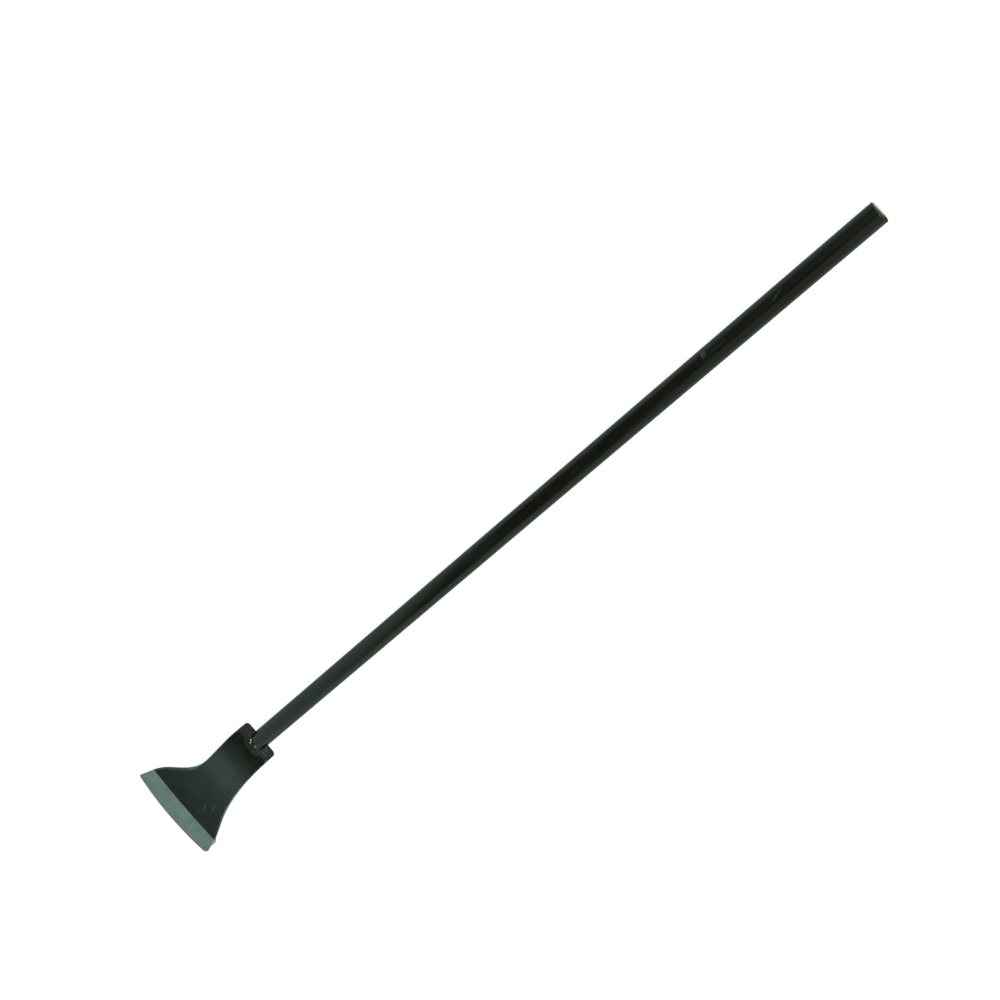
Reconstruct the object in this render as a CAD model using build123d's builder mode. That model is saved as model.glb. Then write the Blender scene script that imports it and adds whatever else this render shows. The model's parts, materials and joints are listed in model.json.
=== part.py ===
from build123d import *
import math
import os

# A long-handled grubbing hoe with its blade in line with the handle: a wedge-shaped
# forged head, welded by its butt to a straight steel tube made of two lengths.
# It lies on its back. +X runs along the handle, away from the blade, +Y across the
# blade and +Z up, out of the head's front face. The origin is the middle of its box, on the ground.

# Driving dimensions, millimetres
tube_radius = 13.4
tube_wall = 2.8
tube_length = 1127.0
upper_tube_length = 240.0
tube_end_break = 0.5

head_length = 233.0
butt_thickness = 25.0
butt_offset = 1.4
butt_edge_radius = 1.2

bevel_length = 41.0
bevel_start_thickness = 5.0
edge_thickness = 0.8
edge_half_width = 77.0
edge_sag = 7.0
left_corner_radius = 3.0
right_corner_radius = 9.0

groove_depth = 1.6
splice_crown = 0.5

fillet_leg = 4.2
front_lobe_width = 32.0
front_lobe_reach = 10.5
front_lobe_run_up = 6.5
front_lobe_cover = 1.9
rear_lobe_width = 30.0
rear_lobe_reach = 7.5
rear_lobe_run_up = 6.0
rear_lobe_cover = 1.1
rear_lobe_height = 4.2
lobe_crown_radius = 0.9

# Half of the head's thickness between the butt and the bevel: (distance from the butt face,
# half thickness). It is hollow near the butt and a little full in the middle of the cheek.
cheek = [(25, 10.1), (50, 8.3), (85, 6.9), (130, 5.3)]

# The head's plan: (distance from the butt face, distance from the tube's axis) of its two sides,
# from the butt to the start of the bevel. The left side has a waist and a tight flare, the right
# side is one slow curve. Both go on straight from there to the edge.
left_side = [(0, 31.4), (35, 31.6), (92, 28.2), (120, 29.8), (140, 37.2), (160, 50.6), (192, 68.8)]
right_side = [(0, 30.6), (47, 32.6), (91, 37.2), (120, 43.0), (148, 51.2), (169, 60.2), (192, 70.3)]
left_edge_corner = (226, 78.2)
right_edge_corner = (226, 79.75)

# Places worked out from the driving dimensions
overall_length = tube_length + head_length
butt_x = -overall_length / 2 + head_length
edge_x = butt_x - head_length
tube_end_x = overall_length / 2
splice_x = tube_end_x - upper_tube_length
bevel_x = edge_x + bevel_length
rear_face_depth = butt_thickness / 2 + butt_offset
axis_height = rear_face_depth + rear_lobe_cover
head_height = axis_height - butt_offset
bore_radius = tube_radius - tube_wall
spare_width = edge_half_width + 5


def tube(name, start_x, end_x, groove_at_start, groove_at_end):
    """A straight length of tube, with half of the splice's weld groove on the ends that have one."""
    with BuildPart() as length:
        with BuildSketch(Plane.YZ.offset(start_x)):
            with Locations((0, axis_height)):
                Circle(tube_radius)
                Circle(bore_radius, mode=Mode.SUBTRACT)
        extrude(amount=end_x - start_x)
        rims = length.edges().filter_by(GeomType.CIRCLE)
        outer_rims = rims.filter_by(lambda rim: rim.radius > (tube_radius + bore_radius) / 2)
        if groove_at_start:
            chamfer(outer_rims.sort_by(Axis.X)[0], length=groove_depth)
        if groove_at_end:
            chamfer(outer_rims.sort_by(Axis.X)[-1], length=groove_depth)
        else:
            open_rims = length.edges().filter_by(GeomType.CIRCLE).group_by(Axis.X)[-1]
            chamfer(open_rims, length=tube_end_break)
    length.part.label = name
    return length.part


def edge_line(y):
    """X of the cutting edge at a distance y from the tube's axis: a shallow arc."""
    arc_radius = (edge_half_width**2 + edge_sag**2) / (2 * edge_sag)
    return edge_x + arc_radius - math.sqrt(arc_radius**2 - y**2)


def plan_point(distance, half_width, sign):
    """A point of the head's plan, with sign +1 for the left side and -1 for the right side."""
    return (butt_x - distance, sign * half_width)


def cheek_points(side):
    """The head's profile from the butt to the bevel, with side +1 for the front and -1 for the rear."""
    ends = [(0, butt_thickness / 2), *cheek, (head_length - bevel_length, bevel_start_thickness / 2)]
    return [(butt_x - distance, head_height + side * half) for distance, half in ends]


# Blade head: one forging. Its cheeks narrow from the butt to the bevel, then a ground bevel on
# both faces runs from a straight line out to the curved cutting edge, all trimmed to the plan.
with BuildPart() as blade_head:
    for station in (-spare_width, -spare_width / 2, 0, spare_width / 2, spare_width):
        with BuildSketch(Plane.XZ.offset(-station)):
            with BuildLine():
                Polyline(
                    (bevel_x, head_height + bevel_start_thickness / 2),
                    (edge_line(station), head_height + edge_thickness / 2),
                    (edge_line(station), head_height - edge_thickness / 2),
                    (bevel_x, head_height - bevel_start_thickness / 2),
                    close=True,
                )
            make_face()
    loft()
    with BuildSketch(Plane.XZ):
        with BuildLine():
            front_cheek = Spline(*cheek_points(1))
            rear_cheek = Spline(*cheek_points(-1))
            Line(front_cheek @ 0, rear_cheek @ 0)
            Line(front_cheek @ 1, rear_cheek @ 1)
        make_face()
    extrude(amount=spare_width, both=True)
    with BuildSketch(Plane.XY) as plan:
        with BuildLine():
            left = Spline(*[plan_point(*point, 1) for point in left_side])
            right = Spline(*[plan_point(*point, -1) for point in right_side])
            left_corner = plan_point(*left_edge_corner, 1)
            right_corner = plan_point(*right_edge_corner, -1)
            Line(left @ 0, right @ 0)
            Line(left @ 1, left_corner)
            Line(right @ 1, right_corner)
            ThreePointArc(left_corner, (edge_x, 0), right_corner)
        make_face()
        fillet(plan.vertices().sort_by(Axis.Y)[-1], radius=left_corner_radius)
        fillet(plan.vertices().sort_by(Axis.Y)[0], radius=right_corner_radius)
    extrude(amount=axis_height + butt_thickness, mode=Mode.INTERSECT)
    butt_face = blade_head.faces().sort_by(Axis.X)[-1]
    fillet(butt_face.edges(), radius=butt_edge_radius)
blade_head.part.label = "blade_head"

# Handle: two lengths of tube, end to end
lower_tube = tube("lower_tube", butt_x, splice_x, False, True)
upper_tube = tube("upper_tube", splice_x, tube_end_x, True, False)

# Splice weld: fills the groove between the two lengths and stands a little proud of them
with BuildPart() as splice_weld:
    with BuildSketch(Plane.XZ):
        with BuildLine():
            left_toe = (splice_x - groove_depth, axis_height + tube_radius)
            right_toe = (splice_x + groove_depth, axis_height + tube_radius)
            root = (splice_x, axis_height + tube_radius - groove_depth)
            ThreePointArc(left_toe, (splice_x, axis_height + tube_radius + splice_crown), right_toe)
            Polyline(left_toe, root, right_toe)
        make_face()
    revolve(axis=Axis((0, 0, axis_height), (1, 0, 0)))
splice_weld.part.label = "splice_weld"

# Head weld, first run: a concave fillet all round the foot of the tube, no wider than the butt face
with BuildPart() as head_weld_fillet:
    with BuildSketch(Plane.XZ):
        with BuildLine():
            foot = (butt_x, axis_height + tube_radius)
            on_tube = (butt_x + fillet_leg, axis_height + tube_radius)
            on_butt = (butt_x, axis_height + tube_radius + fillet_leg)
            throat = (butt_x + 0.32 * fillet_leg, axis_height + tube_radius + 0.32 * fillet_leg)
            Polyline(on_tube, foot, on_butt)
            ThreePointArc(on_butt, throat, on_tube)
        make_face()
    revolve(axis=Axis((0, 0, axis_height), (1, 0, 0)))
    with BuildSketch(Plane.YZ.offset(butt_x)):
        with Locations((0, head_height)):
            Rectangle(4 * tube_radius, butt_thickness - 2 * butt_edge_radius)
    extrude(amount=fillet_leg, mode=Mode.INTERSECT)
head_weld_fillet.part.label = "head_weld_fillet"


def weld_lobe(name, width, reach, run_up, low, high, outward):
    """A pad of weld over one long edge of the butt, from the head's broad face up onto the tube."""
    length = reach + run_up
    with BuildPart() as lobe:
        with BuildSketch(Plane.XY.offset(low)):
            with Locations((butt_x + (run_up - reach) / 2, 0)):
                Ellipse(length / 2, width / 2)
        extrude(amount=high - low)
        crown = lobe.edges().filter_by(Plane.XY).sort_by(Axis.Z)[-1 if outward > 0 else 0]
        fillet(crown, radius=lobe_crown_radius)
        add(blade_head.part, mode=Mode.SUBTRACT)
        add(head_weld_fillet.part, mode=Mode.SUBTRACT)
        with BuildSketch(Plane.YZ.offset(butt_x)):
            with Locations((0, axis_height)):
                Circle(tube_radius)
        extrude(amount=length, mode=Mode.SUBTRACT)
    lobe.part.label = name
    return lobe.part


# Head weld, second run: a lobe over the front edge of the butt and a thinner one over the rear edge
front_weld_lobe = weld_lobe(
    "front_weld_lobe",
    front_lobe_width,
    front_lobe_reach,
    front_lobe_run_up,
    axis_height + 0.5 * tube_radius,
    axis_height + tube_radius + front_lobe_cover,
    1,
)
rear_weld_lobe = weld_lobe(
    "rear_weld_lobe",
    rear_lobe_width,
    rear_lobe_reach,
    rear_lobe_run_up,
    0,
    rear_lobe_height,
    -1,
)

os.makedirs("parts", exist_ok=True)
for piece in (
    blade_head.part,
    lower_tube,
    upper_tube,
    splice_weld.part,
    head_weld_fillet.part,
    front_weld_lobe,
    rear_weld_lobe,
):
    export_step(piece, f"parts/{piece.label}.step")
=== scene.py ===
import json
import math

import bmesh
import bpy
import numpy as np
from mathutils import Matrix, Vector, noise
from mathutils.bvhtree import BVHTree


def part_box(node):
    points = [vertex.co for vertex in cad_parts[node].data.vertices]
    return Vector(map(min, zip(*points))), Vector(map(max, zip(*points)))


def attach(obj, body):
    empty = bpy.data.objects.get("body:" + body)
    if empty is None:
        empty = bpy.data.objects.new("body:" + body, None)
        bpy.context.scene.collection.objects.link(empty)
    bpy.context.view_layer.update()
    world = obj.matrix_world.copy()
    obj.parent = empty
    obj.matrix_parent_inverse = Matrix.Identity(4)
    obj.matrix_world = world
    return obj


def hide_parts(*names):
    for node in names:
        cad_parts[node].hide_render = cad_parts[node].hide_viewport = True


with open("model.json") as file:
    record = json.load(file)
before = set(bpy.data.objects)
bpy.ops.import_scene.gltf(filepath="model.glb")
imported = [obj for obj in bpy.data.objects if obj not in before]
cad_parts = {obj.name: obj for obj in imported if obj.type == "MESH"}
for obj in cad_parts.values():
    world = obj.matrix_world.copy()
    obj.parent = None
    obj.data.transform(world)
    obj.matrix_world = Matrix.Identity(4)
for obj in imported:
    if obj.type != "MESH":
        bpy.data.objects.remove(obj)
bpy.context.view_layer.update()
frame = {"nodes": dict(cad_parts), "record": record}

MM = 0.001

# ---------------------------------------------------------------------------
# Places and sizes, read from the frame
# ---------------------------------------------------------------------------
nodes = frame["nodes"]
mounts = {mount["name"]: mount for mount in frame["record"]["mounts"]}
tube_radius = mounts["handle_tube"]["dims"]["r_mm"] * MM
bore_radius = mounts["handle_bore"]["dims"]["r_mm"] * MM
axis_z = mounts["handle_tube"]["pos_m"][2]
head_low, head_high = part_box("blade_head")
butt_x = head_high.x
edge_x = head_low.x
head_z = (head_low.z + head_high.z) / 2
splice_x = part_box("upper_tube")[0].x
tube_end_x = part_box("upper_tube")[1].x
front_lobe_low, front_lobe_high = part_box("front_weld_lobe")
rear_lobe_low, rear_lobe_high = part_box("rear_weld_lobe")
fillet_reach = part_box("head_weld_fillet")[1].x - butt_x
splice_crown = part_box("splice_weld")[1].z - axis_z - tube_radius
splice_half_width = (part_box("splice_weld")[1].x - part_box("splice_weld")[0].x) / 2

# The head's surface: its bevel, its small edge round and the marks of grinding and forging
bevel_length = 41 * MM
butt_edge_round = 0.8 * MM
micro_bevel = 1.8 * MM
forging_wave = 0.03 * MM
paint_bow = 2.1 * MM
burr_reach = 3.2 * MM
burr_share = 0.02

# How the head thins from the butt to the bevel: a hollow near the butt, then a full part
hollow_drop = 2.23 * MM
hollow_run = 45 * MM
full_lift = 0.48 * MM
full_place = 85 * MM
full_run = 22 * MM

# The tubes: how far their ends are rounded, and how uneven the drawn skin is
open_lip = 0.4 * MM
splice_lip = 0.1 * MM
end_land = 1.2 * MM
drawn_wave = 0.02 * MM

# The welds: how far they sink into the steel, and how far the front lobe's toe runs down the face
bead_root = 0.5 * MM
splice_root = 0.25 * MM
splice_spread = 4.5 * MM
lobe_root = 1.2 * MM
toe_spread = Vector((2.0 * MM, 0, 0))

# ---------------------------------------------------------------------------
# Small helpers
# ---------------------------------------------------------------------------


def smoothstep(low, high, value):
    """0 below low, 1 above high, and a smooth rise between them."""
    t = min(max((value - low) / (high - low), 0.0), 1.0)
    return t * t * (3 - 2 * t)


def lerp(start, end, t):
    """The value a share t of the way from start to end."""
    return start + (end - start) * t


def make_object(name, vertices, faces, materials, face_materials=None):
    """A smooth-shaded mesh object from plain lists, with edges over 30 degrees kept sharp."""
    mesh = bpy.data.meshes.new(name)
    mesh.from_pydata([tuple(v) for v in vertices], [], faces)
    for material in materials:
        mesh.materials.append(material)
    if face_materials is not None:
        mesh.polygons.foreach_set("material_index", face_materials)
    mesh.validate()
    builder = bmesh.new()
    builder.from_mesh(mesh)
    bmesh.ops.recalc_face_normals(builder, faces=builder.faces)
    builder.to_mesh(mesh)
    builder.free()
    mesh.shade_smooth()
    mesh.set_sharp_from_angle(angle=math.radians(30))
    piece = bpy.data.objects.new(name, mesh)
    bpy.context.scene.collection.objects.link(piece)
    return piece


def grid_faces(rows, columns, closed_rows=False, closed_columns=True):
    """Quads between rows of points, each row a ring (closed_columns) or an open line."""
    faces = []
    row_pairs = rows if closed_rows else rows - 1
    column_pairs = columns if closed_columns else columns - 1
    for row in range(row_pairs):
        next_row = (row + 1) % rows
        for column in range(column_pairs):
            next_column = (column + 1) % columns
            faces.append(
                (
                    row * columns + column,
                    row * columns + next_column,
                    next_row * columns + next_column,
                    next_row * columns + column,
                )
            )
    return faces


def store_attribute(piece, name, values):
    """A number for each vertex, which a material reads by name."""
    attribute = piece.data.attributes.new(name, "FLOAT", "POINT")
    attribute.data.foreach_set("value", np.array(values, np.float32))


def finish_piece(piece, node):
    """Make a piece ride with the tool and stand for its CAD node."""
    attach(piece, "root")
    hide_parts(node)


# ---------------------------------------------------------------------------
# Material helpers
# ---------------------------------------------------------------------------


class Nodes:
    """A short way to add shader nodes to one node tree."""

    def __init__(self, tree):
        self.tree = tree

    def add(self, kind, inputs=None, **settings):
        node = self.tree.nodes.new(kind)
        for name, value in settings.items():
            setattr(node, name, value)
        for name, value in (inputs or {}).items():
            self.put(node.inputs[name], value)
        return node

    def put(self, socket, value):
        if isinstance(value, bpy.types.NodeSocket):
            self.tree.links.new(value, socket)
        else:
            socket.default_value = value

    def math(self, operation, a, b, clamp=False):
        node = self.add("ShaderNodeMath", {0: a, 1: b}, operation=operation, use_clamp=clamp)
        return node.outputs[0]

    def vector(self, operation, inputs):
        return self.add("ShaderNodeVectorMath", inputs, operation=operation).outputs

    def range(self, value, low, high, to_low=0.0, to_high=1.0):
        """A smooth rise of value from low to high, as to_low to to_high."""
        inputs = {"Value": value, "From Min": low, "From Max": high, "To Min": to_low, "To Max": to_high}
        node = self.add("ShaderNodeMapRange", inputs, interpolation_type="SMOOTHSTEP")
        return node.outputs["Result"]

    def mix(self, factor, a, b, blend="MIX"):
        node = self.add("ShaderNodeMix", data_type="RGBA", blend_type=blend)
        self.put(node.inputs[0], factor)
        self.put(node.inputs[6], a)
        self.put(node.inputs[7], b)
        return node.outputs[2]

    def lighter(self, a, b):
        """The lighter of two colours, channel by channel."""
        return self.mix(1.0, a, b, "LIGHTEN")

    def noise(self, vector, scale, detail=2.0, roughness=0.5):
        inputs = {"Vector": vector, "Scale": scale, "Detail": detail, "Roughness": roughness}
        return self.add("ShaderNodeTexNoise", inputs).outputs["Fac"]

    def stretch(self, vector, scale):
        return self.add("ShaderNodeMapping", {"Vector": vector, "Scale": scale}).outputs["Vector"]

    def bump(self, height, strength, distance, normal=None):
        inputs = {"Height": height, "Strength": strength, "Distance": distance}
        if normal is not None:
            inputs["Normal"] = normal
        return self.add("ShaderNodeBump", inputs).outputs["Normal"]


def new_material(name):
    """A node material: itself, its node builder, its shader and the place of a point in metres."""
    material = bpy.data.materials.new(name)
    material.use_nodes = True
    tree = material.node_tree
    shader = tree.nodes["Principled BSDF"]
    build = Nodes(tree)
    position = build.add("ShaderNodeTexCoord").outputs["Object"]
    return material, build, shader, position


def scratch_group():
    """A node group: 1 on a thin line between two points in space, 0 elsewhere."""
    tree = bpy.data.node_groups.new("scratch_line", "ShaderNodeTree")
    face = tree.interface
    for name in ("Position", "Start", "End"):
        face.new_socket(name, in_out="INPUT", socket_type="NodeSocketVector")
    face.new_socket("Width", in_out="INPUT", socket_type="NodeSocketFloat")
    face.new_socket("Mask", in_out="OUTPUT", socket_type="NodeSocketFloat")
    build = Nodes(tree)
    given = build.add("NodeGroupInput").outputs
    away = build.vector("SUBTRACT", {0: given["Position"], 1: given["Start"]})["Vector"]
    along = build.vector("SUBTRACT", {0: given["End"], 1: given["Start"]})["Vector"]
    shadow = build.vector("DOT_PRODUCT", {0: away, 1: along})["Value"]
    square = build.vector("DOT_PRODUCT", {0: along, 1: along})["Value"]
    share = build.math("DIVIDE", shadow, square, clamp=True)
    nearest = build.vector("SCALE", {0: along, "Scale": share})["Vector"]
    gap = build.vector("DISTANCE", {0: away, 1: nearest})["Value"]
    mask = build.range(gap, given["Width"], 0.0)
    result = build.add("NodeGroupOutput")
    tree.links.new(mask, result.inputs["Mask"])
    return tree


scratch_tree = scratch_group()


def scratches(build, position, lines):
    """The strongest of several scratch lines. Each is (start, end, width, strength), in metres."""
    total = 0.0
    for start, end, width, strength in lines:
        group = build.add("ShaderNodeGroup", node_tree=scratch_tree)
        build.put(group.inputs["Position"], position)
        group.inputs["Start"].default_value = start
        group.inputs["End"].default_value = end
        group.inputs["Width"].default_value = width
        mask = build.math("MULTIPLY", group.outputs["Mask"], strength)
        total = mask if isinstance(total, float) else build.math("MAXIMUM", total, mask)
    return total


def sparse_dots(build, position, scale, radius, keep):
    """Small round specks, one in a few cells: 1 inside a speck."""
    cells = build.add("ShaderNodeTexVoronoi", {"Vector": position, "Scale": scale})
    near = build.range(cells.outputs["Distance"], radius, radius * 0.4)
    pick = build.add("ShaderNodeSeparateColor", {"Color": cells.outputs["Color"]}).outputs["Red"]
    chosen = build.math("LESS_THAN", pick, keep)
    return build.math("MULTIPLY", near, chosen)


def enamel(name, colour, dull, gloss, peel, lines, speck_share, wear=0.0, lengthwise=1.0):
    """Gloss black enamel: faint colour clouds, orange peel, dust nibs, scratches and worn edges.

    gloss is the lowest roughness, peel the depth of the orange peel, and lengthwise under 1 draws
    the clouds out along the tool.
    """
    material, build, shader, position = new_material(name)
    stretched = build.stretch(position, (lengthwise, 1.0, 1.0))
    clouds = build.noise(stretched, 38.0, 4.0, 0.6)
    base = build.mix(build.range(clouds, 0.35, 0.7), colour, dull)
    specks = sparse_dots(build, position, 210.0, 0.16, speck_share)
    scratch = scratches(build, position, lines)
    breakup = build.range(build.noise(position, 1900.0, 2.0), 0.3, 0.55, 0.35, 1.0)
    scratch = build.math("MULTIPLY", scratch, breakup)
    scratch_colour = (0.30, 0.34, 0.31, 1)
    base = build.mix(build.math("MULTIPLY", specks, 0.30), base, (0.22, 0.25, 0.22, 1))
    base = build.mix(scratch, base, scratch_colour)
    rough = build.range(clouds, 0.3, 0.75, gloss, gloss + 0.09)
    smears = build.noise(build.stretch(position, (14.0, 90.0, 90.0)), 1.0, 3.0)
    rough = build.math("ADD", rough, build.range(smears, 0.5, 0.8, 0.0, 0.10))
    if wear > 0:
        edge = build.add("ShaderNodeAttribute", attribute_name="edge_wear").outputs["Fac"]
        patches = build.range(build.noise(position, 160.0, 4.0, 0.7), 0.50, 0.62)
        worn = build.math("MULTIPLY", build.math("MULTIPLY", edge, patches), wear)
        base = build.mix(worn, base, (0.34, 0.37, 0.34, 1))
        rough = build.math("ADD", rough, build.math("MULTIPLY", worn, 0.25))
    shader.inputs["Metallic"].default_value = 0.0
    shader.inputs["IOR"].default_value = 1.5
    build.put(shader.inputs["Base Color"], base)
    build.put(shader.inputs["Roughness"], rough)
    ripple = build.bump(build.noise(position, 420.0, 2.0), 0.5, peel)
    nibs = build.bump(specks, 0.6, 0.12 * MM, ripple)
    marks = build.bump(scratch, -0.5, 0.08 * MM, nibs)
    build.put(shader.inputs["Normal"], marks)
    return material


# ---------------------------------------------------------------------------
# Materials
# ---------------------------------------------------------------------------


def on_head(distance, y, z):
    """A place on the head: distance from the butt towards the blade and y, in millimetres, and z."""
    return (butt_x - distance * MM, y * MM, z)


def on_tube(distance, angle):
    """A place on the tube: distance from the butt in millimetres, angle from the top towards +Y."""
    turn = math.radians(angle)
    across = tube_radius * math.sin(turn)
    up = axis_z + tube_radius * math.cos(turn)
    return (butt_x + distance * MM, across, up)


def face_scratch(start, end, half_thickness, width, strength):
    """A scratch on the head's front face, between two (distance, y) places in millimetres."""
    height = head_z + half_thickness * MM
    return (on_head(*start, height), on_head(*end, height), width, strength)


# Scratches, chips and spots on each piece, each with its start, end, width and strength
head_marks = [
    face_scratch((155.6, -21.6), (169.8, -24.6), 3.9, 0.9 * MM, 0.55),
    face_scratch((139.5, -30.9), (158.2, -35.2), 4.5, 0.9 * MM, 0.55),
    face_scratch((177.0, -0.4), (182.0, -3.5), 3.0, 2.2 * MM, 0.12),
    face_scratch((178.1, -22.2), (178.6, -23.2), 3.1, 1.2 * MM, 0.35),
    face_scratch((179.9, -36.0), (181.9, -37.0), 3.0, 1.1 * MM, 0.30),
    face_scratch((137.9, 37.4), (119.1, 25.6), 5.3, 1.6 * MM, 0.22),
    face_scratch((62.0, -7.3), (62.8, -8.0), 7.7, 1.2 * MM, 0.22),
    face_scratch((64.0, 6.4), (64.8, 7.0), 7.6, 1.0 * MM, 0.18),
    (on_head(0, -18.3, 11.6 * MM), on_head(0, -19.0, 11.6 * MM), 1.4 * MM, 0.45),
]
weld_marks = [
    (on_head(-1.5, 14.8, 15.0 * MM), on_head(-3.0, 15.2, 19.0 * MM), 1.5 * MM, 0.35),
]
tube_marks = [
    (on_tube(670, 4), on_tube(672, 5), 1.0 * MM, 0.20),
    (on_tube(679, 8), on_tube(680, 8), 0.9 * MM, 0.18),
    (on_tube(675, -26), on_tube(676, -26), 0.8 * MM, 0.20),
    (on_tube(720, -23), on_tube(721, -23), 0.8 * MM, 0.18),
    (on_tube(47, -2), on_tube(50, 2), 1.3 * MM, 0.30),
    (on_tube(41, -28), on_tube(44, -24), 1.3 * MM, 0.30),
    (on_tube(66, 35), on_tube(67, 35), 1.1 * MM, 0.22),
    (on_tube(76, -6), on_tube(77, -6), 1.1 * MM, 0.18),
]
upper_tube_marks = [
    (on_tube(987, 6), on_tube(993, 20), 1.7 * MM, 0.13),
    (on_tube(993, 20), on_tube(999, 27), 1.7 * MM, 0.10),
    (on_tube(896, 14), on_tube(916, 15), 1.1 * MM, 0.08),
]
splice_marks = [
    (on_tube(884, 30), on_tube(890, 37), 5.0 * MM, 0.22),
]

# Colours of the enamel, and of its duller clouds
head_black = (0.0150, 0.0140, 0.0094, 1)
head_dull = (0.0190, 0.0186, 0.0130, 1)
tube_black = (0.0095, 0.0090, 0.0058, 1)
tube_dull = (0.0135, 0.0132, 0.0092, 1)
weld_black = (0.022, 0.022, 0.016, 1)
weld_dull = (0.034, 0.034, 0.026, 1)
head_enamel = enamel(
    "head_enamel", head_black, head_dull, 0.06, 0.01 * MM, head_marks, 0.04, wear=0.35
)
lower_enamel = enamel(
    "lower_tube_enamel", tube_black, tube_dull, 0.12, 0.01 * MM, tube_marks, 0.03, lengthwise=0.25
)
upper_enamel = enamel(
    "upper_tube_enamel", tube_black, tube_dull, 0.14, 0.01 * MM, upper_tube_marks, 0.03, lengthwise=0.25
)
splice_enamel = enamel("splice_enamel", tube_black, tube_dull, 0.20, 0.02 * MM, splice_marks, 0.03)
weld_enamel = enamel("weld_enamel", weld_black, weld_dull, 0.27, 0.04 * MM, weld_marks, 0.10)


def ground_steel(name):
    """Bare ground steel: fine lines along X, cloudy gloss, a few long scratches, a painted green
    highlight along the honed edge and a painted near-white highlight on the burr.
    """
    material, build, shader, position = new_material(name)
    lines = build.noise(build.stretch(position, (60.0, 2600.0, 600.0)), 1.0, 3.0, 0.6)
    coarse = build.noise(build.stretch(position, (18.0, 420.0, 100.0)), 1.0, 3.0, 0.6)
    clouds = build.noise(position, 55.0, 4.0, 0.6)
    base = build.mix(build.range(clouds, 0.3, 0.75), (0.60, 0.64, 0.62, 1), (0.49, 0.53, 0.51, 1))
    base = build.mix(build.range(lines, 0.35, 0.75, 0.0, 0.35), base, (0.62, 0.66, 0.64, 1))
    # The honed strip along the cutting edge is painted bright green: a painted edge highlight
    honed_and_glint = build.add("ShaderNodeAttribute", attribute_name="honed_and_glint").outputs["Fac"]
    base = build.mix(honed_and_glint, base, (0.24, 0.90, 0.60, 1))
    # The burr is painted near white: a painted highlight where its facet catches the light
    burr_and_glint = build.add("ShaderNodeAttribute", attribute_name="burr_and_glint").outputs["Fac"]
    base = build.mix(burr_and_glint, base, (0.95, 0.98, 0.97, 1))
    marks = [
        face_scratch((197.9, -30.3), (210.5, -31.5), 2.0, 0.9 * MM, 0.8),
        face_scratch((210.5, -31.5), (222.1, -34.6), 1.2, 0.9 * MM, 0.7),
        face_scratch((228.5, -33.9), (231.0, -35.0), 0.6, 1.8 * MM, 1.0),
    ]
    scratch = scratches(build, position, marks)
    base = build.mix(build.math("MULTIPLY", scratch, 0.8), base, (0.95, 0.97, 0.95, 1))
    rough = build.range(clouds, 0.3, 0.7, 0.34, 0.44)
    rough = build.math("ADD", rough, build.range(coarse, 0.4, 0.7, -0.04, 0.06))
    shader.inputs["Metallic"].default_value = 1.0
    build.put(shader.inputs["Base Color"], base)
    build.put(shader.inputs["Roughness"], rough)
    fine = build.bump(lines, 0.25, 0.03 * MM)
    broad = build.bump(coarse, 0.25, 0.06 * MM, fine)
    build.put(shader.inputs["Normal"], build.bump(scratch, -0.5, 0.1 * MM, broad))
    return material


def bore_steel(name):
    """The tube's bare inner wall: oily mill scale, with painted light just inside the mouth and painted
    shade along the top.
    """
    material, build, shader, position = new_material(name)
    clouds = build.noise(build.stretch(position, (60.0, 240.0, 240.0)), 1.0, 4.0, 0.65)
    streaks = build.noise(build.stretch(position, (12.0, 700.0, 700.0)), 1.0, 2.0)
    base = build.mix(build.range(clouds, 0.35, 0.7), (0.105, 0.125, 0.055, 1), (0.060, 0.058, 0.032, 1))
    base = build.mix(build.range(streaks, 0.5, 0.8, 0.0, 0.5), base, (0.15, 0.17, 0.09, 1))
    places = build.add("ShaderNodeSeparateXYZ", {"Vector": position}).outputs
    # Painted light: a pale pool just inside the mouth, on the -Y side, where light falls into the bore
    painted_mouth_light = build.range(places["X"], tube_end_x - 2.0 * MM, tube_end_x - 0.8 * MM)
    lit_side = build.range(places["Y"], -0.9 * bore_radius, -0.2 * bore_radius)
    painted_mouth_light = build.math("MULTIPLY", painted_mouth_light, lit_side)
    base = build.mix(painted_mouth_light, base, (0.62, 0.80, 0.60, 1))
    # Painted shade: the bore and its rim darken towards the top, where the inner wall faces away from the
    # light
    painted_top_shade = build.range(places["Z"], axis_z - 0.7 * tube_radius, axis_z + 0.4 * tube_radius)
    base = build.mix(painted_top_shade, base, (0.020, 0.024, 0.012, 1))
    shader.inputs["Metallic"].default_value = 0.0
    shader.inputs["Specular IOR Level"].default_value = 0.1
    build.put(shader.inputs["Base Color"], base)
    build.put(shader.inputs["Roughness"], build.range(clouds, 0.3, 0.7, 0.55, 0.75))
    build.put(shader.inputs["Normal"], build.bump(clouds, 0.4, 0.2 * MM))
    return material


steel = ground_steel("ground_steel")
bore_finish = bore_steel("bore_steel")

# ---------------------------------------------------------------------------
# Blade head
# ---------------------------------------------------------------------------
bevel_x = edge_x + bevel_length
corner_x = edge_x + 14.5 * MM
head_mesh = nodes["blade_head"].data
head_tree = BVHTree.FromPolygons(
    [vertex.co for vertex in head_mesh.vertices], [face.vertices for face in head_mesh.polygons]
)


def head_hit(start, direction):
    """Where a ray first meets the CAD head."""
    return head_tree.ray_cast(Vector(start), Vector(direction))[0]


def side_curve(sign):
    """A smooth curve through one side of the CAD head's plan: y for a given x."""
    places = np.linspace(bevel_x, butt_x - 2 * butt_edge_round, 90)
    sides = [head_hit((x, sign, head_z), (0, -sign, 0)).y for x in places]
    return np.polynomial.Polynomial.fit(places, sides, 9)


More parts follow.
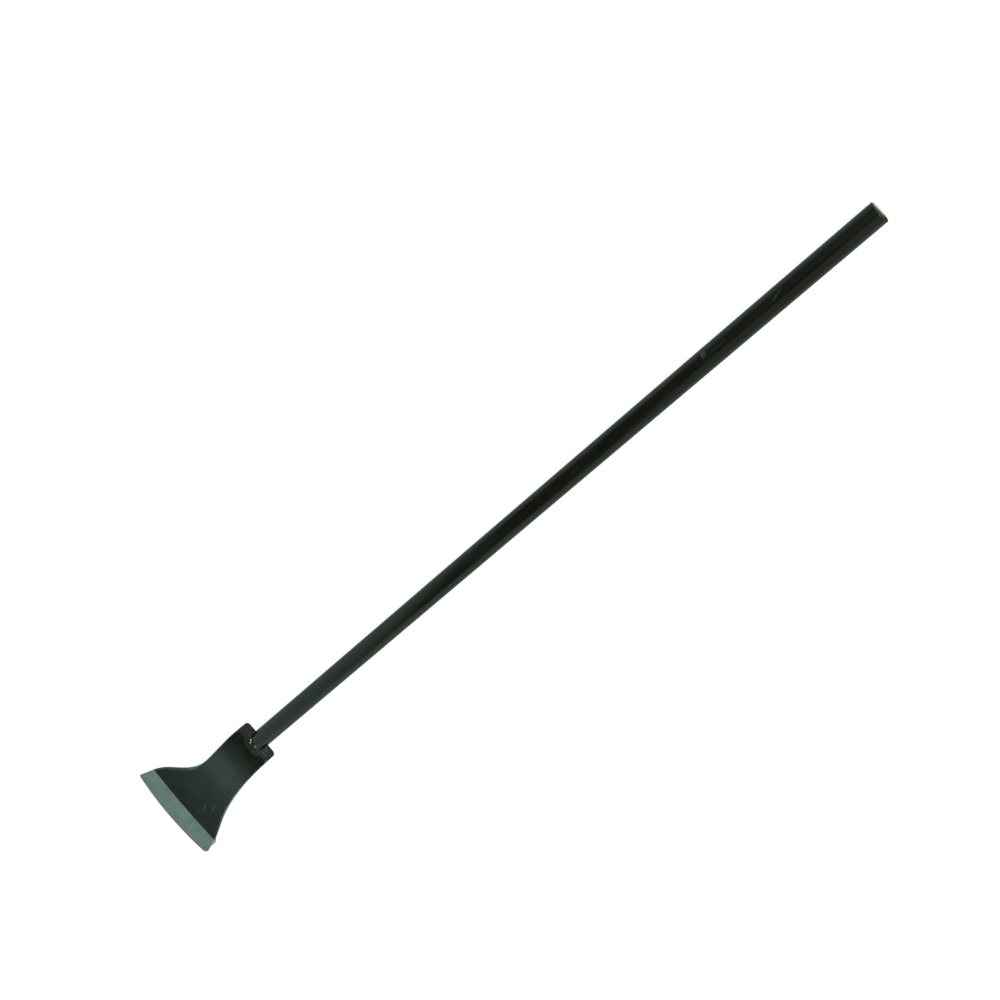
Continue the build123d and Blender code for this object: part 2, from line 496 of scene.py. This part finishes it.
def edge_outline(count):
    """Evenly spaced points along the cutting edge and its corners, from the right side to the left.

    Rays fan out from corner_x on the axis, eight to a degree, and three passes take out the facets.
    """
    turns = np.linspace(-math.pi / 2, math.pi / 2, 8 * 180 + 1)
    hits = [head_hit((corner_x, 0, head_z), (-math.cos(t), math.sin(t), 0)) for t in turns]
    places = np.array([(hit.x, hit.y) for hit in hits])
    run = np.concatenate([[0], np.cumsum(np.linalg.norm(np.diff(places, axis=0), axis=1))])
    even = np.linspace(0, run[-1], count)
    outline = np.column_stack([np.interp(even, run, places[:, axis]) for axis in (0, 1)])
    for _ in range(3):
        outline[1:-1] = (outline[:-2] + 2 * outline[1:-1] + outline[2:]) / 4
    return outline


# Half thicknesses of the CAD head, and the radius of its edge's arc from two points on the edge
left_curve = side_curve(1)
right_curve = side_curve(-1)
butt_half = 12.5 * MM
bevel_start_half = head_hit((bevel_x - 0.01 * MM, 0, 1), (0, 0, -1)).z - head_z
edge_half = head_hit((edge_x + 0.5 * MM, 0, 1), (0, 0, -1)).z - head_z
chord_half = 60 * MM
edge_middle = head_hit((-1, 0, head_z), (1, 0, 0)).x
edge_sag = head_hit((-1, chord_half, head_z), (1, 0, 0)).x - edge_middle
edge_radius = (chord_half**2 + edge_sag**2) / (2 * edge_sag)
cheek_length = butt_x - bevel_x


def cheek_shape(distance):
    """How far the cheek falls by its hollow and full parts, at a distance from the butt."""
    hollow = hollow_drop * math.erf(distance / hollow_run)
    full = full_lift * (math.erf((distance - full_place) / full_run) + math.erf(full_place / full_run))
    return hollow - full


def half_thickness(x):
    """Half of the head's thickness at x, between the butt and the bevel."""
    distance = butt_x - x
    even_fall = butt_half - bevel_start_half - cheek_shape(cheek_length)
    return butt_half - cheek_shape(distance) - even_fall * distance / cheek_length


def bevel_half_thickness(x, y):
    """Half of the bevel's thickness: it thins evenly from the straight line to the curved edge."""
    edge_at_y = edge_middle + edge_radius - math.sqrt(edge_radius**2 - y**2)
    share = min((bevel_x - x) / (bevel_x - edge_at_y), 1.0)
    return lerp(bevel_start_half, edge_half, share)


# How many points a ring round the head has along each broad face, each side and each corner
face_columns = 130
side_columns = 8
corner_steps = 6


def ring(width, half, front_round, rear_round):
    """A rounded rectangle: (share across from right to left, height from the middle) of each point."""
    corners = [
        (1.0, 1.0, front_round, 0.0),
        (0.0, 1.0, front_round, 0.5),
        (0.0, -1.0, rear_round, 1.0),
        (1.0, -1.0, rear_round, 1.5),
    ]
    arcs = []
    for side, face, radius, turn in corners:
        across = side * width - (2 * side - 1) * radius
        height = face * (half - radius)
        angles = [math.pi * (turn + 0.5 * step / corner_steps) for step in range(corner_steps + 1)]
        arcs.append([(across + radius * math.cos(a), height + radius * math.sin(a)) for a in angles])
    points = []
    for index, columns in enumerate((face_columns, side_columns, face_columns, side_columns)):
        points.extend(arcs[index])
        start = arcs[index][-1]
        end = arcs[(index + 1) % 4][0]
        for column in range(1, columns):
            t = column / columns
            points.append((lerp(start[0], end[0], t), lerp(start[1], end[1], t)))
    return [(across / width, height) for across, height in points]


def wave(x, y, z):
    """The forging's faint unevenness, in waves of about 25 mm."""
    return forging_wave * noise.noise(Vector((x, y, z)) * 38.0)


def body_row(x, inset):
    """The ring of points round the head at x, pulled in by inset where it rounds into the butt face."""
    right = right_curve(x) + inset
    left = left_curve(x) - inset
    half = half_thickness(x) - inset
    away = butt_x - x
    front_round = max(lerp(2.0 * MM, 0.9 * MM, smoothstep(0, 60 * MM, away)) - inset, 0.3 * MM)
    rear_round = max(lerp(6.0 * MM, 0.9 * MM, smoothstep(0, 95 * MM, away)) - inset, 0.3 * MM)
    calm = smoothstep(0, 8 * MM, away) * smoothstep(0, 10 * MM, x - bevel_x)
    row = []
    for share, height in ring(left - right, half, front_round, rear_round):
        y = lerp(right, left, share)
        z = height + calm * wave(x, y, height) * (height / half)
        row.append((x, y, head_z + z))
    return row


def bevel_ring(t):
    """The ring's shares and heights on the bevel, at full height, at a share t of the way to the edge."""
    corner_round = lerp(0.7 * MM, 0.12 * MM, smoothstep(0, 0.2, t))
    return ring(left_curve(bevel_x) - right_curve(bevel_x), bevel_start_half, corner_round, corner_round)


def burr_amount(t, share, height):
    """0 to 1: the burr that grinding left along the bevel's right side, below its front face. The same
    share sets where the steel gets a painted near-white highlight.
    """
    along = smoothstep(0, 0.06, t) * (1 - smoothstep(0.20, 0.70, t))
    below = (1 - height / bevel_start_half) / 2
    return along * below * max(1 - share / burr_share, 0.0)


def bevel_row(t, outline, bow=0.0):
    """The ring of points at a share t of the way from the bevel's straight line to the edge.

    bow moves the middle of the ring towards the edge, as the paint's uneven border does.
    """
    shares = np.linspace(0, 1, len(outline))
    right = right_curve(bevel_x)
    left = left_curve(bevel_x)
    row = []
    for share, height in bevel_ring(t):
        edge = [np.interp(share, shares, outline[:, axis]) for axis in (0, 1)]
        here = t + bow / bevel_length * (1 - (2 * share - 1) ** 2)
        x = lerp(bevel_x, edge[0], here)
        y = lerp(lerp(right, left, share), edge[1], here)
        y -= burr_reach * burr_amount(t, share, height)
        half = bevel_half_thickness(x, y)
        to_edge = (bevel_x - x) / (bevel_x - edge[0])
        honed_and_glint = smoothstep(1 - micro_bevel / bevel_length, 1, to_edge)
        half *= 1 - 0.75 * honed_and_glint * smoothstep(1.2 * edge_half, edge_half, half)
        row.append((x, y, head_z + height / bevel_start_half * half))
    return row


def make_head():
    """The head: rings from the butt to the cutting edge, painted up to the bevel and bare past it."""
    butt_steps = 5
    body_steps = 96
    bevel_steps = 18
    paint_end = 0.004
    rows = [body_row(butt_x, butt_edge_round + 0.3 * MM)]
    for step in range(butt_steps):
        angle = math.pi / 2 * step / butt_steps
        inset = butt_edge_round * (1 - math.sin(angle))
        row_x = butt_x - butt_edge_round * (1 - math.cos(angle))
        rows.append(body_row(row_x, inset))
    for step in range(body_steps + 1):
        rows.append(body_row(lerp(butt_x - butt_edge_round, bevel_x, step / body_steps), 0.0))
    outline = edge_outline(401)
    bevel_start = len(rows)
    rows.append(bevel_row(paint_end, outline, paint_bow))
    honed_from = 1 - micro_bevel / bevel_length
    shares = [honed_from * step / bevel_steps for step in range(2, bevel_steps + 1)]
    shares += [(1 + honed_from) / 2, 1.0]
    rows.extend(bevel_row(t, outline) for t in shares)
    count = len(rows[0])
    # How strongly each point of the ring gets the burr's painted highlight
    burr_glint_amounts = [0.0] * ((bevel_start + 1) * count)
    for t in shares:
        burr_glint_amounts.extend(min(3 * burr_amount(t, share, height), 1.0) for share, height in bevel_ring(t))
    vertices = [point for row in rows for point in row]
    faces = grid_faces(len(rows), count)
    metal = [int(index // count >= bevel_start) for index in range(len(faces))]
    faces.append(tuple(range(count)))
    metal.append(0)
    faces.extend(edge_cap(len(rows) - 1, count))
    metal.extend([1] * (len(faces) - len(metal)))
    head = make_object("blade_head_forged", vertices, faces, [head_enamel, steel], metal)
    wear = [edge_amount(column) for column in range(count)]
    store_attribute(head, "edge_wear", wear * len(rows))
    # The last two rings are the honed strip, which carries the painted edge highlight
    store_attribute(head, "honed_and_glint", [0] * (count * (len(rows) - 2)) + [1] * (count * 2))
    store_attribute(head, "burr_and_glint", burr_glint_amounts)
    finish_piece(head, "blade_head")


def ring_spans():
    """The first and last index of the ring's front chain and rear chain, both with their corners."""
    chain = 2 * (corner_steps + 1) + face_columns - 1
    rear_first = chain + side_columns - 1
    return (0, chain - 1), (rear_first, rear_first + chain - 1)


def edge_cap(row, count):
    """Faces that close the cutting edge, between the front and rear chains of the last ring."""
    (front_first, front_last), (rear_first, rear_last) = ring_spans()
    first = row * count
    steps = front_last - front_first
    faces = []
    for step in range(steps):
        front = [front_first + step, front_first + step + 1]
        rear = [rear_last - step - 1, rear_last - step]
        right_side = list(range(front_last + 1, rear_first)) if step == steps - 1 else []
        left_side = list(range(rear_last + 1, count)) if step == 0 else []
        faces.append(tuple(first + index for index in front + right_side + rear + left_side))
    return faces


def edge_amount(column):
    """How much a point of the ring can wear: most on the front corners, half as much on the sides."""
    (_, front_last), (rear_first, rear_last) = ring_spans()
    if column <= corner_steps or front_last - corner_steps <= column <= front_last:
        return 1.0
    if front_last < column < rear_first or column > rear_last:
        return 0.5
    return 0.0


make_head()

# ---------------------------------------------------------------------------
# Tube
# ---------------------------------------------------------------------------


def on_round(x, radius, angle):
    """A place at a radius from the tube's axis, at an angle from the top towards +Y."""
    return (x, radius * math.sin(angle), axis_z + radius * math.cos(angle))


def full_turn(count):
    """Evenly spaced angles all the way round."""
    return [2 * math.pi * step / count for step in range(count)]


def drawn_unevenness(x, angle):
    """A very slight unevenness of the drawn tube's skin."""
    place = Vector((x * 9.0, math.sin(angle), math.cos(angle)))
    return drawn_wave * (noise.noise(place) - 0.5)


def stations(start, end, spacing):
    """Evenly spaced places from start to end, about spacing apart."""
    steps = max(1, round(abs(end - start) / spacing))
    return [lerp(start, end, step / steps) for step in range(steps + 1)]


def make_tube(name, node, start_x, end_x, lip, finish):
    """A length of tube: skin, bore, a plain start, and an end with rounded lips and a flat rim."""
    count = 128
    lip_steps = 4
    rim_steps = 4
    profile = [(x, tube_radius) for x in stations(start_x, end_x - end_land, 9 * MM)]
    for step in range(lip_steps + 1):
        angle = math.pi / 2 * step / lip_steps
        x = end_x - lip + lip * math.sin(angle)
        profile.append((x, tube_radius - lip + lip * math.cos(angle)))
    bare_first = len(profile) - 2
    for step in range(1, rim_steps):
        profile.append((end_x, lerp(tube_radius - lip, bore_radius + lip, step / rim_steps)))
    for step in range(lip_steps + 1):
        angle = math.pi / 2 * step / lip_steps
        x = end_x - lip + lip * math.cos(angle)
        profile.append((x, bore_radius + lip - lip * math.sin(angle)))
    profile.extend((x, bore_radius) for x in stations(end_x - end_land, start_x, 30 * MM))
    vertices = []
    for x, radius in profile:
        for angle in full_turn(count):
            vertices.append(on_round(x, radius + drawn_unevenness(x, angle), angle))
    faces = grid_faces(len(profile), count, closed_rows=True)
    bare = [int(bare_first <= index // count < len(profile) - 1) for index in range(len(faces))]
    piece = make_object(name, vertices, faces, [finish, bore_finish], bare)
    finish_piece(piece, node)


make_tube("lower_tube_drawn", "lower_tube", butt_x, splice_x, splice_lip, lower_enamel)
make_tube("upper_tube_drawn", "upper_tube", splice_x, tube_end_x, open_lip, upper_enamel)

# ---------------------------------------------------------------------------
# Welds
# ---------------------------------------------------------------------------


def lumps(place, scale, seed):
    """Uneven weld metal: two sizes of noise, about -1 to 1."""
    shifted = Vector(place) * scale + Vector((seed, seed, seed))
    return 0.65 * noise.noise(shifted) + 0.35 * noise.noise(shifted * 2.3)


def ripples(run, pitch):
    """Weld ripples along a run: sharp valleys between round crests, 0 to 1."""
    return abs(math.sin(math.pi * run / pitch))


def make_splice():
    """The splice's bead: a low uneven band, with one lump left standing at its upper left."""
    count = 160
    steps = 14
    half = splice_half_width + splice_spread
    lump_angle = math.radians(42)
    vertices = []
    for step in range(steps + 1):
        t = lerp(-1, 1, step / steps)
        for angle in full_turn(count):
            sway = noise.noise(Vector((math.sin(angle), math.cos(angle), 4.0)) * 2.5)
            x = splice_x + t * half * (1 + 0.25 * sway)
            turn = (angle - lump_angle + math.pi) % (2 * math.pi) - math.pi
            place = (x, tube_radius * math.sin(angle), tube_radius * math.cos(angle))
            crown = splice_crown * (0.12 + 0.12 * lumps(place, 260, 3.0))
            crown += 0.80 * splice_crown * math.exp(-((turn / 0.50) ** 2) - (1.5 * t) ** 2)
            radius = tube_radius - splice_root + (crown + splice_root) * max(1 - t * t, 0) ** 1.6
            vertices.append(on_round(x, min(radius, tube_radius + splice_crown), angle))
    for side in (1, -1):
        for angle in full_turn(count):
            vertices.append(on_round(splice_x + side * 0.8 * half, tube_radius - 1.0 * MM, angle))
    faces = grid_faces(steps + 3, count, closed_rows=True)
    piece = make_object("splice_weld_bead", vertices, faces, [splice_enamel])
    finish_piece(piece, "splice_weld")


def make_fillet():
    """The bead round the foot of the tube. It thins out where the tube passes the butt's long edges."""
    count = 220
    steps = 12
    vertices = []
    for angle in full_turn(count):
        run = angle * tube_radius
        size = lerp(0.35, 1.0, smoothstep(0.55, 0.95, abs(math.sin(angle)))) * fillet_reach
        leg = size * (0.80 + 0.10 * ripples(run, 3.1 * MM) + 0.18 * lumps((0, run, 0), 240, 1.0))
        for step in range(steps + 1):
            t = step / steps
            bow = 0.30 * leg * math.sin(math.pi * t)
            along = lerp(leg, 0, t) - 0.5 * bow
            out = lerp(0, leg, t) - 0.5 * bow
            grain = 0.12 * MM * math.sin(math.pi * t) * lumps((along, run, out), 700, 2.0)
            vertices.append(on_round(butt_x + along + grain, tube_radius + out + grain, angle))
        vertices.append(on_round(butt_x - 0.4 * MM, tube_radius + 0.9 * leg, angle))
        vertices.append(on_round(butt_x - 0.4 * MM, tube_radius - bead_root, angle))
        vertices.append(on_round(butt_x + 0.9 * leg, tube_radius - bead_root, angle))
    faces = grid_faces(count, steps + 4, closed_rows=True)
    piece = make_object("head_weld_fillet_bead", vertices, faces, [weld_enamel])
    finish_piece(piece, "head_weld_fillet")


def crest(x, y, middle_y, peak_x, peak, half_width):
    """Height over the tube's axis of a ripple's crest: a short ridge with a steep flat side to +X."""
    drop = 1.09 * max(x - peak_x, 0.0) + 0.25 * max(peak_x - x, 0.0)
    return peak - drop + 0.14 * (y - middle_y) - 2.5 * max(abs(y - middle_y) - half_width, 0.0)


def on_disc(u, v):
    """A point of a square from -1 to 1, moved onto a disc of radius 1 without a fold."""
    return u * math.sqrt(1 - v * v / 2), v * math.sqrt(1 - u * u / 2)


def rim_of_grid(rows, columns):
    """The indices round the border of a grid of rows by columns of quads, in order."""
    width = columns + 1
    rim = list(range(width))
    rim += [row * width + columns for row in range(1, rows + 1)]
    rim += [rows * width + column for column in range(columns - 1, -1, -1)]
    rim += [row * width for row in range(rows - 1, 0, -1)]
    return rim


def make_lobe(name, node, side, low, high, seed, crests):
    """A pad of rippled weld over one long edge of the butt: side +1 is the front and -1 the rear.

    low and high are the corners of its box, and crests are the ripples that stand up from it.
    """
    rows = 44
    columns = 72
    middle_x = (low.x + high.x) / 2
    half_x = (high.x - low.x) / 2
    half_y = (high.y - low.y) / 2
    limit = abs((high.z if side > 0 else low.z) - axis_z)
    cover = limit - tube_radius

    def lobe_point(u, v):
        """A point's x, y and the heights of the pad's bed and top over the tube's axis."""
        px, py = on_disc(u, v)
        shore = min(1 + 0.10 * noise.noise(Vector((px * 1.7, py * 1.7, seed))), 1)
        broad = 1 + 0.22 * max(px, 0) * smoothstep(0.1, 0.6, abs(py))
        x = middle_x + px * half_x * shore * broad
        y = py * half_y * shore
        face = half_thickness(min(x, butt_x)) + side * (head_z - axis_z)
        skin = math.sqrt(max(tube_radius**2 - y**2, (0.35 * tube_radius) ** 2))
        bed = lerp(face, skin, smoothstep(butt_x - 2.5 * MM, butt_x + 3.0 * MM, x))
        out = min(math.hypot(px, py), 1.0)
        dome = (1 - out ** lerp(5.0, 3.0, smoothstep(-0.2, 0.5, px))) * cover
        rough = 0.55 * ripples(x - low.x + 0.12 * abs(y), 3.6 * MM) - 0.30
        rough += 0.9 * lumps((x, y, 0), 230, seed)
        top = bed + dome * (0.80 + 0.55 * rough) - 0.25 * MM * out**6
        if out < 1:
            top = max([top] + [crest(x, y, *spot) for spot in crests])
        return x, y, bed - lobe_root, min(top, limit)

    tops = []
    beds = []
    for row in range(rows + 1):
        for column in range(columns + 1):
            x, y, bed, top = lobe_point(lerp(-1, 1, row / rows), lerp(-1, 1, column / columns))
            beds.append((x, y, axis_z + side * bed))
            tops.append((x, y, axis_z + side * top))
    faces = grid_faces(rows + 1, columns + 1, closed_columns=False)
    faces += [tuple(index + len(tops) for index in face) for face in faces]
    rim = rim_of_grid(rows, columns)
    for start, end in zip(rim, rim[1:] + rim[:1]):
        faces.append((start, end, end + len(tops), start + len(tops)))
    piece = make_object(name, tops + beds, faces, [weld_enamel])
    finish_piece(piece, node)


make_splice()
make_fillet()
front_toe = front_lobe_low - toe_spread
# Each crest has its middle's y, its place along X, its height over the tube's axis and half its width
front_crests = [
    (8.1 * MM, butt_x + 4.5 * MM, 13.5 * MM, 2.0 * MM),
    (5.8 * MM, butt_x + 2.1 * MM, 14.9 * MM, 1.5 * MM),
    (-3.2 * MM, butt_x + 4.9 * MM, 15.1 * MM, 2.3 * MM),
]
make_lobe("front_weld_lobe_bead", "front_weld_lobe", 1, front_toe, front_lobe_high, 5.0, front_crests)
make_lobe("rear_weld_lobe_bead", "rear_weld_lobe", -1, rear_lobe_low, rear_lobe_high, 9.0, [])

# ---------------------------------------------------------------------------
# Floor, studio light and camera
# ---------------------------------------------------------------------------


def make_floor(name, height, material, seen):
    """A flat floor far wider than the tool, which either the camera or only the light sees."""
    reach = 9.0
    signs = [(-1, -1), (1, -1), (1, 1), (-1, 1)]
    corners = [(reach * across, reach * along, height) for across, along in signs]
    floor = make_object(name, corners, [(0, 1, 2, 3)], [material])
    floor.visible_camera = seen
    floor.visible_glossy = not seen
    floor.visible_diffuse = not seen
    floor.visible_shadow = not seen


def floor_material(name, colour, glow, glow_colour):
    """A matt floor that also glows a little by itself."""
    material = bpy.data.materials.new(name)
    material.use_nodes = True
    shader = material.node_tree.nodes["Principled BSDF"]
    shader.inputs["Base Color"].default_value = colour
    shader.inputs["Roughness"].default_value = 0.9
    shader.inputs["Specular IOR Level"].default_value = 0.0
    shader.inputs["Emission Color"].default_value = glow_colour
    shader.inputs["Emission Strength"].default_value = glow
    return material


white_floor = floor_material("white_floor", (0.36, 0.36, 0.36, 1), 0.93, (1, 1, 1, 1))
grey_floor = floor_material("grey_floor", (0.17, 0.20, 0.20, 1), 0.35, (0.78, 1.0, 0.98, 1))
make_floor("floor_seen", -0.0005, white_floor, True)
make_floor("floor_lit", -0.002, grey_floor, False)


def studio_world():
    """A dim studio with soft light from three sides: a wall beyond the blade and one on each side.

    beyond is how far a direction points towards the blade, from -1 to 1, and lean is its angle from
    straight up, positive to the right (-Y) and negative to the left.
    """
    world = bpy.data.worlds.new("studio")
    bpy.context.scene.world = world
    world.use_nodes = True
    build = Nodes(world.node_tree)
    direction = build.add("ShaderNodeTexCoord").outputs["Generated"]
    axes = build.add("ShaderNodeSeparateXYZ", {"Vector": direction}).outputs
    beyond = build.math("MULTIPLY", axes["X"], -1.0)
    lean = build.math("ARCTAN2", build.math("MULTIPLY", axes["Y"], -1.0), axes["Z"])

    def lean_range(low, high, to_low=0.0, to_high=1.0):
        return build.range(lean, math.radians(low), math.radians(high), to_low, to_high)

    # The wall beyond the blade: a band with soft borders, a little tilted
    tilted = build.math("ADD", beyond, build.math("MULTIPLY", axes["Y"], 0.07))
    wall = build.math("MULTIPLY", build.range(tilted, 0.557, 0.610), build.range(beyond, 0.82, 0.735))
    wall = build.math("MULTIPLY", wall, build.range(beyond, 0.66, 0.74, 0.66, 1.00))
    wall_tint = build.mix(build.range(beyond, 0.66, 0.74), (0.72, 1.0, 0.84, 1), (0.62, 1.0, 0.93, 1))
    wall_light = build.mix(wall, (0, 0, 0, 1), wall_tint)

    # The right side: light from low down, which comes up higher over the handle's free end
    over_end = build.range(beyond, 0.40, 0.33)
    right = build.mix(over_end, lean_range(40, 62), lean_range(14, 24))
    right = build.math("MULTIPLY", right, build.range(beyond, 0.2, 0.55, 0.31, 0.57))
    right_light = build.mix(right, (0, 0, 0, 1), (0.82, 1.0, 0.82, 1))

    # The left side: light from low down, and a faint one over the handle's free end
    left_low = lean_range(-57, -84, 0.0, 0.46)
    left_high = build.math("MULTIPLY", lean_range(0, -10), build.range(beyond, 0.30, 0.25))
    left = build.math("MAXIMUM", left_low, build.math("MULTIPLY", left_high, 0.17))
    left_light = build.mix(left, (0, 0, 0, 1), (0.74, 1.0, 1.0, 1))

    # Everything else is nearly dark. The camera sees a pale room instead.
    lit = build.lighter(wall_light, build.lighter(right_light, left_light))
    lit = build.lighter(lit, (0.03, 0.03, 0.025, 1))
    background = world.node_tree.nodes["Background"]
    build.put(background.inputs["Color"], lit)
    pale = build.add("ShaderNodeBackground", {"Color": (0.93, 0.94, 0.94, 1), "Strength": 1.0})
    seen = build.add("ShaderNodeLightPath").outputs["Is Camera Ray"]
    both = build.add("ShaderNodeMixShader", {0: seen, 1: background.outputs[0], 2: pale.outputs[0]})
    build.put(world.node_tree.nodes["World Output"].inputs["Surface"], both.outputs[0])


def make_key_light(place, target, size, power):
    """A softbox above and behind the handle's end."""
    light = bpy.data.lights.new("key_light", "AREA")
    light.shape = "SQUARE"
    light.size = size
    light.energy = power
    lamp = bpy.data.objects.new("key_light", light)
    bpy.context.scene.collection.objects.link(lamp)
    lamp.location = place
    lamp.rotation_euler = (Vector(target) - Vector(place)).to_track_quat("-Z", "Y").to_euler()
    lamp.visible_camera = False


def make_camera():
    """The camera: above the handle's end, looking down at the tool, which crosses the picture.

    right points to the right of the picture, and back points away from what the camera looks at.
    """
    data = bpy.data.cameras.new("camera")
    data.lens = 48.56
    data.sensor_width = 36.0
    data.clip_start = 0.05
    data.clip_end = 60.0
    camera = bpy.data.objects.new("camera", data)
    bpy.context.scene.collection.objects.link(camera)
    right = Vector((0.65948, -0.65345, -0.37158)).normalized()
    back = Vector((0.48497, -0.00784, 0.87449)).normalized()
    up = back.cross(right).normalized()
    right = up.cross(back)
    turn = Matrix((right, up, back)).transposed()
    camera.matrix_world = Matrix.Translation((0.92639, 0.02018, 1.47523)) @ turn.to_4x4()
    bpy.context.scene.camera = camera


studio_world()
make_key_light((2.6, -0.8, 2.4), (0.0, 0.0, 0.0), 1.0, 75.0)
make_camera()
bpy.context.scene.view_settings.view_transform = "Standard"
